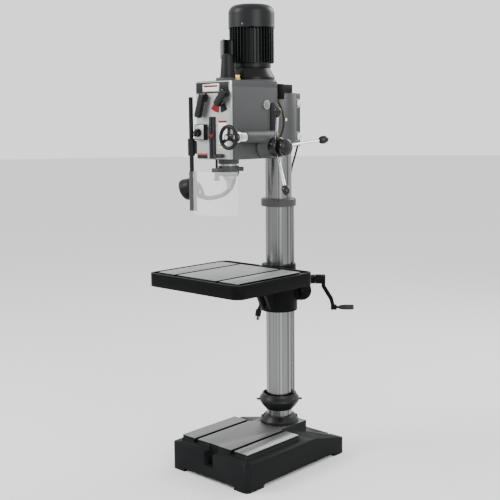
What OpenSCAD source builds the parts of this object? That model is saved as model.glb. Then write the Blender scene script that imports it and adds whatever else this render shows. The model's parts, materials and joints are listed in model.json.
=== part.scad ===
/* [Column] */
// Outside diameter of the column
column_d = 115; // [100:1:130]
// Wall of the column tube
column_wall = 9; // [6:0.5:14]
// Height of the column's top above the floor
column_top = 1600; // [1560:1:1640]

/* [Base] */
// Width of the base casting
base_w = 449; // [430:1:520]
// Front of the base, ahead of the column axis
base_front = 456; // [440:1:500]
// Back of the base, behind the column axis
base_back = 193; // [150:1:240]
// Height of the base casting at the front
base_h = 118; // [105:1:135]
// Width of the machined plate on the base
plate_w = 385; // [340:1:405]
// Height of the machined plate above the floor
plate_top = 147.6; // [140:0.1:165]

/* [Table] */
// Width of the table
table_w = 527; // [460:1:600]
// Depth of the table, front to back
table_d = 466; // [430:1:500]
// Depth of the table's edge
table_edge = 55; // [45:1:65]
// Height of the machined top above the floor
table_top_z = 870; // [760:1:1000]
// Distance of each T-slot from the middle
slot_pitch = 120; // [90:1:150]
// Width of a T-slot at the surface
slot_w = 18; // [14:0.5:20]

/* [Rack and lift] */
// Side of the column that the rack and crank stand at
crank_side = 40; // [30:1:50]
// Throw of the crank
crank_throw = 127; // [110:1:140]
// Length of the crank's grip
grip_len = 76; // [60:1:90]

/* [Head] */
// Distance from the column axis to the spindle axis
spindle_reach = 311.5; // [305:0.5:318]
// Width of the head casting
head_w = 203; // [196:1:220]
// Underside of the head above the floor
head_z = 1341; // [1338:1:1345]
// Top of the head's cover above the floor
head_top = 1655; // [1650:1:1662]
// Wall of the head casting
head_wall = 9; // [7:0.5:11]

/* [Spindle] */
// Radius of the quill
quill_r = 35; // [33:0.5:36]
// Radius of the spindle in its bearings
spindle_r = 15; // [13:0.5:17]
// Travel of the quill
quill_travel = 130; // [90:1:130]
// Height of the spindle's nose at rest
nose_z = 1219; // [1205:1:1230]

/* [Feed] */
// Radius of the feed hub
hub_r = 41; // [38:0.5:46]
// Radius at which the feed knobs travel
lever_reach = 178; // [150:1:190]
// Diameter of a feed lever
lever_d = 12.5; // [10:0.5:14]
// Diameter of the fine feed handwheel
wheel_d = 100; // [88:1:112]

/* [Motor] */
// Radius of the motor's fan cowl
cowl_r = 96; // [90:1:100]
// Length of the motor from its flange to the top of the cowl
motor_len = 306; // [295:1:325]
// Cooling fins on the motor
fin_count = 40; // [30:1:44]

/* [Guard and lamp] */
// Diameter of the guard's rod
rod_d = 18; // [14:0.5:18]
// Height of the clear shield
shield_h = 178; // [150:1:190]
// Thickness of the clear shield
shield_t = 3; // [2:0.5:4]
// Diameter of the lamp's rim
lamp_d = 94; // [80:1:104]

/* [Hidden] */
$fn = 64;

// Clearances: a running fit, a seat, and free parts that pass each other
run_gap = 0.05;
seat_gap = 0.1;
free_gap = 0.4;

column_r = column_d / 2;

// Base
foot_h = 15;
foot_x = 148;
foot_front = 355;
foot_back = 118;
base_corner = 24;
rear_drop = 50;
slope_start = -13;
base_wall = 16;
pad_half = 88;
plate_front = 420;
plate_rear = 93;
plate_step = 4;
step_top = base_h + 12.6;
base_slot = 108;
notch_w = 54;
notch_z = 62;
anchor_x = 137;
anchor_r = 8;
tslot_w = 30;
tslot_h = 9;
tslot_neck = 9;
flange_z0 = plate_top;
flange_h = 34;
flange_bolt_r = 74;

// Collars that hold the rack
collar_z = 210;
collar_h = 71;
collar_screw_z = collar_z + 40;
collar_r = 91;
rack_seat_z = 262;
ring_z = 1127;
ring_h = 34;
ring_r = 77;
rack_top = ring_z + 20;
rack_module = 2.5;
lift_teeth = 28;
lift_pitch_r = rack_module * lift_teeth / 2;
rack_back = column_r + 0.8;
rack_pitch_r = column_r + 9.5;
rack_half = 10;
lift_gear_r = rack_pitch_r + lift_pitch_r;
rack_step = PI * rack_module;

// Table and bracket, at rest
table_rear = -74;
table_front = table_rear - table_d;
rim_w = 11;
trough_w = 22;
trough_depth = 7;
table_corner = 40;
table_skin = 18;
table_under = table_top_z - 2 - table_edge;
arc_r = 88;
sleeve_r = 82;
sleeve_top_r = 76;
sleeve_z = table_top_z - 207;
gear_z = table_top_z - 120;
worm_up = 49;
worm_z = gear_z + worm_up;
worm_r = 11;
gear_case_r = 42;
gear_half = 9;
crank_shaft_r = 9;
crank_reach = 184;
crank_hub_r = 21;
crank_hub_w = 44;
crank_out = 245;
grip_r = 12;
lock_side = 150;
lock_r = 98;
lock_z = sleeve_z + 34;
arm_half = 60;

// Head
head_front = -393;
head_back = -115;
cover_z = head_top - 25;
panel_t = 3;
clamp_z = head_z + 44;
clamp_top = 1613;
clamp_r = 78;
ear_half = 48;
ear_back = 92;
ear_split = 8;
ear_bolt_y = column_r + 12.5;
ear_bolts = [clamp_z + 43, clamp_top - 43];
neck_half = 76;
floor_t = 5;
shelf_z = 1530;
shelf_t = 12;
case_half = head_w / 2;

// Gears, module 3, in a line behind the spindle
gear_module = 3;
motor_teeth = 16;
lay_teeth = 24;
lay_pinion_teeth = 20;
spindle_teeth = 37;
spindle_y = -spindle_reach;
lay_y = spindle_y + gear_module * (lay_pinion_teeth + spindle_teeth) / 2;
motor_y = lay_y + gear_module * (motor_teeth + lay_teeth) / 2;
low_gear_z = shelf_z + shelf_t + 14;
high_gear_z = low_gear_z + 30;
gear_w = 20;

// Spindle and quill
quill_z = head_z - 66;
quill_top = quill_z + 250;
spline_r = 11;
spline_n = 6;
collar_z0 = head_z - 70;
spindle_collar_r = 43.5;
collar_t = 42;
feed_y = spindle_y + 97.5;
feed_z = head_z + 47;
feed_module = 2.5;
feed_teeth = 30;
feed_pitch_r = feed_module * feed_teeth / 2;
quill_rack_y = feed_y - feed_pitch_r;
shaft_r = 14;
depth_x = -11.5;
depth_y = -370;
depth_rod_r = 5;

// Feed hub and fine feed
barrel_end = 165;
worm_x = 128;
fine_z = feed_z + 43;
fine_y0 = -351;
hub_x0 = barrel_end + 0.5;
hub_x1 = 200;
cap_x0 = hub_x1 + 4;
cap_x1 = 239;
cap_r = 33;
lever_root_x = 186;
lever_root_r = 24;
knob_x = 280;
knob_r = 17;
knob_len = 45;
lever_lean = atan2(knob_x - lever_root_x, lever_reach - lever_root_r);
lever_len = norm([knob_x - lever_root_x, lever_reach - lever_root_r]);
lever_angles = [9, 129, 249];
fine_wheel_y = -442;
fine_shaft_r = 8;

// Front controls
left_pivot = [-47, head_top - 65];
right_pivot = [72, head_top - 51];
left_angle = 252;
right_angle = 231.6;
left_len = 84;
right_len = 60;
switch_box_x = -68;
switch_z = head_z + 110;
switch_half = [28, 32];
scale_x = [-25, 8];
scale_z = [head_z + 4, head_z + 171];
marker_z = head_z + 95;

// Motor
motor_z = head_top + 7;
motor_r = 93;
fin_root_r = 82;
cone_top = motor_z + 52;
fin_z0 = motor_z + 69;
fin_z1 = motor_z + 212;
motor_top = motor_z + motor_len;

// Guard and lamp
rod_x = -136;
rod_y = -391;
rod_z0 = 1126;
rod_z1 = 1594;
guard_z = rod_z0 - 14;
hinge_r = 12;
shield_path = [[-124, -394.7], [-12, -409], [40, -388], [56, -318]];
lamp_foot = [-36, -240];
lamp_route = [[-36, -240, 1337], [-36, -240, 1300], [-37, -240, 1268], [-43, -240, 1240],
    [-57, -242, 1214], [-76, -246, 1196], [-99, -251, 1183], [-124, -257, 1175],
    [-150, -263, 1170], [-176, -267, 1168], [-192, -269, 1171], [-205, -270, 1176]];
lamp_tube_r = 9.5;
lamp_rim = [-285, -290, 1200];
lamp_dir = unit([-0.88, -0.2, -0.37]);
lamp_pivot = [-209, -270, 1177];

// Cables
mains_d = 9;
relief_at = [-26, ear_back + 0.1, 1500];
cord_route = [relief_at + [0, 35.2, 0], [-26, 137, 1500], [-26, 148.7, 1498.1],
    [-26, 159.3, 1492.7], [-26, 167.7, 1484.3], [-26, 173.1, 1473.7], [-26, 175, 1462],
    [-26, 174, 1432], [-27, 169, 1402], [-28, 160.5, 1372], [-29, 149.5, 1342], [-30.5, 138, 1314],
    [-32, 129.5, 1290], [-34, 122.5, 1262], [-37, 117.5, 1235], [-42, 114, 1205], [-54, 106, 1150],
    [-68, 96, 1080], [-82, 84, 1000], [-96, 72, 920], [-110, 60, 840], [-124, 44, 770],
    [-134, 34, 710], [-142, 26, 650]];
signal_d = 8;
signal_route = [[88, -102, 1583.6], [88, -101, 1574], [92, -90, 1556], [97, -83, 1532],
    [100, -79, 1505], [100, -79, 1478], [97, -83, 1452], [94, -89, 1434], [92, -97, 1423],
    [90, -103, 1420], [90, -108.8, 1420]];
plug_dir = unit([-8, -8, -60]);

// The middle of the floor box, under everything but the cord
knob_ext = norm([knob_len / 2 * sin(lever_lean), knob_r * cos(lever_lean)]);
box_right = knob_x + knob_ext;
box_left = min(-table_w / 2, lamp_rim[0] - lamp_d / 2 * sqrt(1 - pow(lamp_dir[0], 2)));
grip_end = crank_out + 11 + free_gap + grip_len;
box_back = grip_end * sin(crank_side) + grip_r * cos(crank_side);
centre_x = (box_left + box_right) / 2;
centre_y = (table_front + box_back) / 2;

// Direction of v, with length one
function unit(v) = v / norm(v);

// Angle between the flank of an involute and its base, in degrees
function involute(a) = tan(a) * 180 / PI - a;

// Normal of the stretch of a path that starts at point i
function normal_at(path, i) = let (d = unit(path[i + 1] - path[i])) [-d[1], d[0]];

// Point i of a path, moved sideways by s, with square corners kept even
function beside(path, i, s) = let (a = normal_at(path, max(i - 1, 0)),
    b = normal_at(path, min(i, len(path) - 2))) path[i] + s * (a + b) / (1 + a * b);

// Half the angle of a gear tooth at radius r
function tooth_half(m, z, r, slack) = let (rp = m * z / 2, rb = rp * cos(20))
    90 / z - slack * 180 / PI / rp + involute(20) - involute(r > rb ? acos(rb / r) : 0);

// Outline of a spur gear of module m with z teeth, tooth 0 on +X
function gear_points(m, z, slack = 0.08) = let (
        rp = m * z / 2,
        rb = rp * cos(20),
        r0 = rp - 1.25 * m,
        r3 = rp + m,
        rs = [r0, max(r0 + 0.01, rb), max(r0 + 0.02, rb) + (rp - max(r0, rb)) * 0.6, rp + 0.3 * m, r3])
    [for (i = [0:z - 1]) for (k = [-1, 1]) for (j = [0:4])
        let (r = rs[k < 0 ? j : 4 - j], a = i * 360 / z + k * tooth_half(m, z, r, slack))
        r * [cos(a), sin(a)]];

// Outline of a rack: teeth along Y, pitch line at X = r, tips towards side * X
function rack_points(m, r, side, back, y0, y1, tooth_y, slack = 0.08) = let (
        p = PI * m,
        n0 = ceil((y0 - tooth_y) / p + 0.5),
        n1 = floor((y1 - tooth_y) / p - 0.5),
        tip = p / 4 - m * tan(20) - slack,
        root = p / 4 + 1.25 * m * tan(20) - slack)
    concat([[back, y0], [r - side * 1.25 * m, y0]],
        [for (i = [n0:n1]) for (q = [[-root, -1.25], [-tip, 1], [tip, 1], [root, -1.25]])
            [r + side * q[1] * m, tooth_y + i * p + q[0]]],
        [[r - side * 1.25 * m, y1], [back, y1]]);

// Half outline of an egg of length l and radius r, for turning about Z
function egg_points(l, r, n = 14) = [for (i = [0:n])
    let (a = i * 180 / n) [max(0, r * sin(a) * (1 + 0.12 * cos(a))), -l / 2 * cos(a)]];

// Frame along a route: direction at point i, and two directions across it
function route_dir(p, i) = unit(p[min(i + 1, len(p) - 1)] - p[max(i - 1, 0)]);
function across(d) = unit(cross(d, abs(d[2]) > 0.9 ? [0, 1, 0] : [0, 0, 1]));

// First direction across, carried along the route so that the tube doesn't twist
function carried(p, i) = i == 0 ? across(route_dir(p, 0)) : let (
        d = route_dir(p, i),
        a = carried(p, i - 1))
    unit(a - (a * d) * d);

module route_tube(points, r, sides = 8) {
    n = len(points);
    ring = [for (i = [0:n - 1]) let (d = route_dir(points, i), a = carried(points, i), b = cross(d, a))
        for (k = [0:sides - 1]) points[i] + r * (cos(k * 360 / sides) * a + sin(k * 360 / sides) * b)];
    walls = [for (i = [0:n - 2]) for (k = [0:sides - 1])
        let (k1 = (k + 1) % sides)
        [i * sides + k, (i + 1) * sides + k, (i + 1) * sides + k1, i * sides + k1]];
    ends = [[for (k = [0:sides - 1]) k], [for (k = [sides - 1:-1:0]) (n - 1) * sides + k]];
    polyhedron(ring, concat(walls, ends));
}

// Turn children so that +Z points along d
module along(d) {
    rotate([0, acos(d[2] / norm(d)), atan2(d[1], d[0])]) children();
}

module place() {
    translate([-centre_x, -centre_y, 0]) children();
}

// Local frame at angle a round the column, +X pointing outwards
module round_column(a) {
    rotate([0, 0, a]) children();
}

module rounded_rect(w, d, r) {
    square([w - 2 * r, d], center = true);
    square([w, d - 2 * r], center = true);
    for (x = [-1, 1], y = [-1, 1])
        translate([x * (w / 2 - r), y * (d / 2 - r)]) circle(r);
}

// Rounded box from z0 to z1, centred on x, y
module rounded_box(w, d, r, z0, z1, y = 0, x = 0) {
    translate([x, y, z0]) linear_extrude(z1 - z0) rounded_rect(w, d, r);
}

module tube(r_out, r_in, z0, z1) {
    difference() {
        translate([0, 0, z0]) cylinder(r = r_out, h = z1 - z0);
        translate([0, 0, z0 - 1]) cylinder(r = r_in, h = z1 - z0 + 2);
    }
}

// Cylinder along X, from x0 to x1
module rod_x(r, x0, x1) {
    translate([x0, 0, 0]) rotate([0, 90, 0]) cylinder(r = r, h = x1 - x0);
}

// Cylinder along Y, from y0 to y1
module rod_y(r, y0, y1) {
    translate([0, y0, 0]) rotate([-90, 0, 0]) cylinder(r = r, h = y1 - y0);
}

// Cylinder along Z, from z0 to z1
module rod_z(r, z0, z1) {
    translate([0, 0, z0]) cylinder(r = r, h = z1 - z0);
}

module box(x0, x1, y0, y1, z0, z1) {
    translate([x0, y0, z0]) cube([x1 - x0, y1 - y0, z1 - z0]);
}

// Flat outline drawn in X and Z, with thickness t across Y
module upright(t) {
    rotate([90, 0, 0]) linear_extrude(t, center = true) children();
}

// Line of width w through points, with round corners
module stroke(points, w) {
    for (i = [0:len(points) - 2]) {
        a = points[i];
        d = points[i + 1] - a;
        translate(a) rotate(atan2(d[1], d[0])) translate([0, -w / 2]) square([norm(d), w]);
    }
    for (p = points) translate(p) circle(d = w + 0.2, $fn = 32);
}

module hex_bolt(r, length, head_r, head_h) {
    translate([0, 0, -length]) cylinder(r = r, h = length);
    cylinder(r = head_r, h = head_h, $fn = 6);
}

module cap_screw(r, length) {
    difference() {
        union() {
            translate([0, 0, -length]) cylinder(r = r, h = length);
            cylinder(r = 1.6 * r, h = 1.6 * r);
        }
        translate([0, 0, 0.8 * r]) cylinder(r = r * 0.9, h = r, $fn = 6);
    }
}

// T-slot along Y, with its mouth at height z
module t_slot(x, y0, y1, z) {
    box(x - slot_w / 2, x + slot_w / 2, y0, y1, z - tslot_neck - 0.5, z + 1);
    box(x - tslot_w / 2, x + tslot_w / 2, y0, y1, z - tslot_neck - tslot_h, z - tslot_neck);
}

// ---- Stand ----

module flange_bolt_places() {
    for (a = [45:90:315]) rotate([0, 0, a]) translate([flange_bolt_r, 0, 0]) children();
}

module base_casting() {
    mid_y = (base_back - base_front) / 2;
    plate_y = -(plate_front + plate_rear) / 2;
    plate_d = plate_front - plate_rear;
    color("#26282b") difference() {
        union() {
            intersection() {
                rounded_box(base_w, base_front + base_back, base_corner, 0, base_h, mid_y);
                translate([-base_w / 2, 0, 0]) rotate([90, 0, 90]) linear_extrude(base_w)
                    polygon([[-base_front, 0], [base_back, 0], [base_back, base_h - rear_drop],
                        [slope_start, base_h], [-base_front, base_h]]);
            }
            rounded_box(plate_w + 2 * plate_step, plate_d + 2 * plate_step, 6, base_h - 1, step_top,
                plate_y);
            rounded_box(plate_w, plate_d, 3, base_h - 1, plate_top, plate_y);
            box(-pad_half, pad_half, -plate_rear - 2, pad_half - 4, base_h - rear_drop, plate_top);
        }
        box(-base_w / 2 + base_wall, base_w / 2 - base_wall, -foot_front - 30, slope_start, -1,
            base_h - 20);
        for (side = [-1, 1]) mirror([side < 0 ? 1 : 0, 0, 0])
            box(notch_w / 2 + 14, base_w / 2 - base_wall, -base_front + base_wall, -foot_front, -1,
                base_h - 20);
        box(-base_w / 2 + base_wall, base_w / 2 - base_wall, slope_start - 1, base_back - base_wall,
            -1, base_h - rear_drop - 20);
        box(-foot_x, foot_x, -base_front - 1, base_back + 1, -1, foot_h);
        box(-base_w, base_w, -foot_front, foot_back, -1, foot_h);
        box(-notch_w / 2, notch_w / 2, -base_front - 1, -plate_front + 2, notch_z, plate_top + 1);
        for (x = [-base_slot, base_slot])
            t_slot(x, -plate_front - 2 * plate_step, -plate_rear + 2 * plate_step, plate_top);
        for (x = [-anchor_x, anchor_x]) translate([x, base_back - 12, 0]) {
            rod_z(anchor_r, -1, base_h);
            box(-anchor_r, anchor_r, 0, 20, -1, base_h);
        }
        flange_bolt_places() rod_z(5.5, plate_top - 30, plate_top + 1);
    }
}

module column() {
    color("#a9abad") tube(column_r, column_r - column_wall, plate_top, column_top);
}

module column_flange() {
    bore = column_r + seat_gap;
    color("#2a2c2f") translate([0, 0, flange_z0]) difference() {
        rotate_extrude() polygon([[bore, 0], [86, 0], [86, 12], [80, 20], [72, flange_h - 4],
            [68, flange_h], [bore, flange_h]]);
        flange_bolt_places() {
            rod_z(10, 20, flange_h);
            rod_z(5.5, -1, 21);
        }
    }
}

module rack_collar_lower() {
    bore = column_r + seat_gap;
    cup = rack_pitch_r + rack_module + 2 * free_gap;
    top = collar_z + collar_h;
    color("#2a2c2f") difference() {
        rotate_extrude() polygon([[bore, collar_z], [62, collar_z], [78, collar_z + 18],
            [88, collar_z + 34], [collar_r, collar_z + 42], [88, collar_z + 52], [80, top - 9],
            [76, top], [cup, top], [cup, rack_seat_z], [bore, rack_seat_z]]);
        for (a = [43, 223]) rotate([0, 0, a]) translate([0, 0, collar_screw_z])
            rod_x(5, column_r, collar_r + 2);
    }
}

module rack_ring_upper() {
    bore = column_r + seat_gap;
    cup = rack_pitch_r + rack_module + 2 * free_gap;
    color("#77797c") difference() {
        rotate_extrude() polygon([[cup, ring_z], [ring_r - 1.5, ring_z], [ring_r, ring_z + 2],
            [ring_r, ring_z + ring_h - 5], [ring_r - 5, ring_z + ring_h], [bore, ring_z + ring_h],
            [bore, rack_top + free_gap], [cup, rack_top + free_gap]]);
        rotate([0, 0, 310]) translate([0, 0, ring_z + ring_h - 8]) rod_x(3, column_r, ring_r + 1);
    }
}

// Point on a split ear where a clamp bolt crosses it
module ear_bolt_places() {
    for (z = ear_bolts) translate([0, ear_bolt_y, z]) children();
}

module stand_bolts() {
    color("#c8cacc") {
        flange_bolt_places() translate([0, 0, flange_z0 + 20]) cap_screw(5.4, 28);
        for (a = [43, 223]) rotate([0, 0, a]) translate([0, 0, collar_screw_z]) {
            rod_x(4.9, column_r + seat_gap, collar_r + 6);
            translate([collar_r + 6, 0, 0]) rotate([0, 90, 0]) cylinder(r1 = 4.9, r2 = 2, h = 7);
        }
        rotate([0, 0, 310]) translate([0, 0, ring_z + ring_h - 8])
            rod_x(2.9, column_r + seat_gap, ring_r - 1);
        ear_bolt_places() {
            rod_x(8, -ear_half - 18, ear_half + 1);
            rod_x(20, ear_half + 0.2, ear_half + 3);
            translate([ear_half + 3, 0, 0]) rotate([0, 90, 0]) cylinder(r = 15, h = 11, $fn = 6);
            translate([-ear_half - 13.2, 0, 0]) rotate([0, 90, 0]) cylinder(r = 15, h = 13, $fn = 6);
        }
    }
}

// ---- Rack, table and lift ----

module rack_bar() {
    foot_z = rack_seat_z + free_gap;
    color("#8d8f92") round_column(crank_side) {
        upright(2 * rack_half) polygon(rack_points(rack_module, rack_pitch_r, 1, rack_back,
            foot_z, rack_top, gear_z));
    }
}

module table_outline(inset) {
    difference() {
        translate([0, (table_front + table_rear) / 2])
            rounded_rect(table_w - 2 * inset, table_d - 2 * inset, table_corner - inset);
        circle(arc_r + inset);
    }
}

module machined_outline() {
    edge = rim_w + trough_w;
    front = table_front + edge;
    back = table_rear - edge - 21;
    difference() {
        translate([0, (front + back) / 2]) rounded_rect(table_w - 2 * edge, back - front, 10);
        circle(arc_r + edge);
    }
}

module table_bolt_places() {
    for (x = [-45, 45], y = [-350, -160]) translate([x, y, table_under]) children();
}

module table() {
    rim_z = table_top_z - 2;
    floor_z = table_top_z - trough_depth;
    inner_z = table_top_z - table_skin;
    color("#26282b") difference() {
        union() {
            translate([0, 0, table_under]) linear_extrude(rim_z - table_under) table_outline(0);
            translate([0, 0, rim_z - 3]) linear_extrude(5) machined_outline();
        }
        translate([0, 0, floor_z]) linear_extrude(20) difference() {
            table_outline(rim_w);
            machined_outline();
        }
        difference() {
            translate([0, 0, table_under - 1]) linear_extrude(inner_z - table_under + 1)
                table_outline(14);
            for (x = [-slot_pitch, slot_pitch])
                box(x - 20, x + 20, -600, 0, inner_z - 12, inner_z + 1);
            for (y = [-455, -255]) box(-300, 300, y - 7, y + 7, table_under + 12, inner_z + 1);
            box(-7, 7, -600, 0, table_under + 12, inner_z + 1);
            table_bolt_places() rod_z(17, 0, table_edge);
        }
        for (x = [-slot_pitch, slot_pitch])
            t_slot(x, table_front + rim_w + 2, table_rear - rim_w - 2, table_top_z);
        table_bolt_places() rod_z(6, -1, 26);
    }
}

module table_bolts() {
    color("#55585b") table_bolt_places() translate([0, 0, -14.1]) mirror([0, 0, 1])
        hex_bolt(5.8, 36, 10, 8);
}

// Local frame at the lift gear: +X outwards, +Z up
module at_lift_gear() {
    round_column(crank_side) translate([lift_gear_r, 0, gear_z]) children();
}

// Local frame at the crank's shaft, +X outwards along it
module at_crank() {
    round_column(crank_side) translate([0, 0, worm_z]) children();
}

module table_bracket() {
    top_z = table_top_z - 1;
    step_z = sleeve_z + 130;
    case_end = crank_reach - crank_hub_w / 2 - 1;
    channel = rack_pitch_r + rack_module + free_gap;
    color("#26282b") difference() {
        union() {
            rod_z(sleeve_r, sleeve_z, step_z);
            rod_z(sleeve_top_r, step_z - 1, top_z);
            box(-arm_half, arm_half, -410, -60, table_under - 14, table_under);
            for (x = [-24, 24]) translate([x, 0, 0]) rotate([90, 0, 90])
                linear_extrude(18, center = true)
                polygon([[-60, sleeve_z + 12], [-84, sleeve_z + 12], [-120, table_under - 70],
                    [-400, table_under - 26], [-400, table_under - 2], [-60, table_under - 2]]);
            at_lift_gear() {
                rod_y(gear_case_r, -gear_half - 13, gear_half + 13);
                box(-44, 0, -gear_half - 13, gear_half + 13, -gear_case_r, gear_case_r);
                rod_y(15, -gear_half - 17, gear_half + 17);
            }
            at_crank() {
                rod_x(20, sleeve_top_r - 8, case_end);
                box(70, 130, -14, 14, -20, 0);
            }
            round_column(lock_side) box(sleeve_r - 8, lock_r + 14, -20, 20, lock_z - 20, lock_z + 20);
        }
        rod_z(column_r + run_gap, sleeve_z - 1, top_z + 1);
        round_column(crank_side)
            box(column_r - 1, channel, -rack_half - free_gap, rack_half + free_gap, sleeve_z - 1,
                top_z + 1);
        at_lift_gear() {
            rod_y(lift_pitch_r + rack_module + 1, -gear_half - 0.5, gear_half + 0.5);
            rod_y(8 + run_gap, -gear_half - 12, gear_half + 18);
        }
        at_crank() {
            rod_x(worm_r + 0.8, 80, 124);
            rod_x(crank_shaft_r + run_gap, channel + 4, case_end + 1);
        }
        round_column(lock_side) {
            box(column_r - 1, lock_r + 20, -2.5, 2.5, sleeve_z - 1, sleeve_z + 70);
            translate([lock_r, 0, lock_z]) rod_y(6 + run_gap, -21, 21);
        }
        table_bolt_places() rod_z(6, -20, 1);
    }
}

module lift_gear() {
    color("#8d8f92") at_lift_gear() {
        upright(2 * gear_half) rotate(180 + 180 / lift_teeth)
            polygon(gear_points(rack_module, lift_teeth));
        rod_y(8, -gear_half - 11.5, gear_half + 16);
    }
}

module lift_worm() {
    color("#8d8f92") at_crank() {
        rod_x(crank_shaft_r, rack_pitch_r + rack_module + 5, crank_reach + crank_hub_w / 2 - 6);
        for (i = [0:4]) translate([84.5 + i * rack_step, 0, 0]) rotate([0, 90, 0]) {
            cylinder(r1 = crank_shaft_r - 0.5, r2 = worm_r, h = 1.8);
            translate([0, 0, 1.8]) cylinder(r1 = worm_r, r2 = crank_shaft_r - 0.5, h = 1.8);
        }
    }
}

module crank_arm() {
    inner = crank_reach - crank_hub_w / 2;
    color("#26282b") at_crank() difference() {
        union() {
            rod_x(crank_hub_r, inner, inner + crank_hub_w);
            upright(18) stroke([[inner + crank_hub_w - 10, 0], [inner + crank_hub_w - 8, -32],
                [inner + crank_hub_w + 26, -88], [crank_out - 3, -crank_throw]], 17);
            translate([0, 0, -crank_throw]) rod_x(12.5, crank_out - 14, crank_out + 11);
        }
        rod_x(crank_shaft_r + seat_gap, inner - 1, inner + crank_hub_w - 5);
        translate([0, 0, -crank_throw]) rod_x(5 + run_gap, crank_out - 15, crank_out + 12);
    }
}

module crank_grip() {
    x0 = crank_out + 11 + free_gap;
    color("#1d1e20") at_crank() translate([x0, 0, -crank_throw]) rotate([0, 90, 0]) rotate_extrude()
        polygon([[0, -24], [5, -24], [5, 0], [7, 0], [7, 3], [4.5, 6], [9, 14], [grip_r - 1, 26],
            [grip_r, 40], [grip_r - 0.5, grip_len - 3], [grip_r - 3, grip_len], [0, grip_len]]);
}

module table_lock_handle() {
    color("#1d1e20") round_column(lock_side) translate([lock_r, 0, lock_z]) {
        rod_y(6, -34, 20.5);
        rod_y(11, -34, -20.5);
        translate([0, -27, 0]) rod_z(5.5, -82, 0);
        translate([0, -27, -88]) rotate_extrude() polygon(egg_points(34, 10));
    }
}

// ---- Head ----

module at_spindle() {
    translate([0, spindle_y, 0]) children();
}

// Local frame at the feed shaft, along X
module at_feed() {
    translate([0, feed_y, feed_z]) children();
}

// Local frame at the fine feed shaft, along Y
module at_fine() {
    translate([worm_x, 0, fine_z]) children();
}

module head_housing() {
    mid_y = (head_front + panel_t + head_back) / 2;
    depth = head_back - head_front - panel_t;
    neck_y = head_back - 10;
    color("#67686b") difference() {
        union() {
            difference() {
                rounded_box(head_w, depth, 9, head_z, cover_z, mid_y);
                rounded_box(head_w - 2 * head_wall, depth - 2 * head_wall, 5, head_z + floor_t,
                    cover_z + 1, mid_y);
            }
            box(-case_half + 2, case_half - 2, head_front + panel_t + 2, head_back - 2, shelf_z,
                shelf_z + shelf_t);
            at_spindle() rod_z(quill_r + 8, head_z - 20, head_z + 159);
            box(-neck_half, neck_half, neck_y, 0, clamp_z, clamp_top);
            rod_z(clamp_r, clamp_z, clamp_top);
            box(-ear_half, ear_half, 50, ear_back, clamp_z, clamp_top);
            for (x = [-case_half + 1, case_half - 14]) translate([x, 0, 0]) at_feed()
                rod_x(24, 0, 13);
        }
        rod_z(column_r + seat_gap, clamp_z - 1, column_top + 1);
        box(-ear_split / 2, ear_split / 2, 40, ear_back + 1, clamp_z - 1, clamp_top + 1);
        ear_bolt_places() {
            rod_x(8.5, -ear_half - 1, ear_half + 1);
            rod_x(20.4, ear_half, ear_half + 25);
            rod_x(20.4, -ear_half - 25, -ear_half);
        }
        at_spindle() {
            rod_z(quill_r + run_gap, head_z - 21, head_z + 160);
            rod_z(24 + seat_gap, shelf_z - 1, shelf_z + shelf_t + 1);
            box(-10.6, 10.6, 20, 62.8, head_z - 21, head_z + 160);
        }
        translate([0, lay_y, 0]) rod_z(16 + seat_gap, shelf_z - 1, shelf_z + shelf_t + 1);
        translate([depth_x, depth_y, 0]) rod_z(depth_rod_r + 1, head_z - 1, head_z + floor_t + 1);
        at_feed() rod_x(shaft_r + run_gap, -case_half - 2, case_half + 2);
        for (pivot = [left_pivot, right_pivot]) translate([pivot[0], 0, pivot[1]])
            rod_y(7, head_front, head_front + 60);
    }
}

module head_cover() {
    mid_y = (head_front + panel_t + head_back) / 2;
    depth = head_back - head_front - panel_t;
    color("#6b6c6f") difference() {
        union() {
            rounded_box(head_w, depth, 9, cover_z, head_top, mid_y);
            intersection() {
                translate([0, motor_y, 0]) rod_z(cowl_r + 7, head_top - 1, motor_z);
                box(-case_half, case_half, head_front, head_back, head_top - 2, motor_z);
            }
            at_spindle() rod_z(48, head_top - 1, head_top + 13);
        }
        at_spindle() {
            rod_z(24 + seat_gap, cover_z - 1, head_top - 2);
            rod_z(18, head_top - 3, head_top + 14);
        }
        translate([0, motor_y, 0]) rod_z(31, cover_z - 1, motor_z + 1);
        translate([0, lay_y, 0]) rod_z(16 + seat_gap, cover_z - 1, cover_z + 12);
        translate([70, -326, 0]) rod_z(8, head_top - 14, head_top + 1);
    }
}

module front_panel() {
    color("#a7a8ab") difference() {
        translate([0, head_front + panel_t, 0]) rotate([90, 0, 0]) linear_extrude(panel_t)
            translate([0, (head_z + head_top) / 2]) rounded_rect(head_w - 1, head_top - head_z - 5, 3);
        for (pivot = [left_pivot, right_pivot]) translate([pivot[0], 0, pivot[1]])
            rod_y(7, head_front - 1, head_front + 10);
        translate([scale_x[1] + 12, 0, head_z + 14]) rod_y(4, head_front - 1, head_front + 10);
    }
}

module depth_scale() {
    mid = (scale_x[0] + scale_x[1]) / 2;
    color("#1f2123") difference() {
        box(scale_x[0], scale_x[1], head_front - 4, head_front, scale_z[0], scale_z[1]);
        box(mid - 4.5, mid + 4.5, head_front - 5, head_front - 1.5, scale_z[0] + 8, scale_z[1] - 8);
    }
}

module depth_marker() {
    mid = (scale_x[0] + scale_x[1]) / 2;
    color("#b3252b") union() {
        box(mid - 4.1, mid + 4.1, head_front - 4.4, head_front - 1.9, marker_z - 7, marker_z + 7);
        upright_at(head_front - 6) translate([mid, marker_z])
            polygon([[-11, 6], [11, 6], [11, 2], [0, -8], [-11, 2]]);
    }
}

// Flat outline in X and Z, 3 thick, whose middle is at y
module upright_at(y) {
    translate([0, y, 0]) upright(3.2) children();
}

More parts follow.
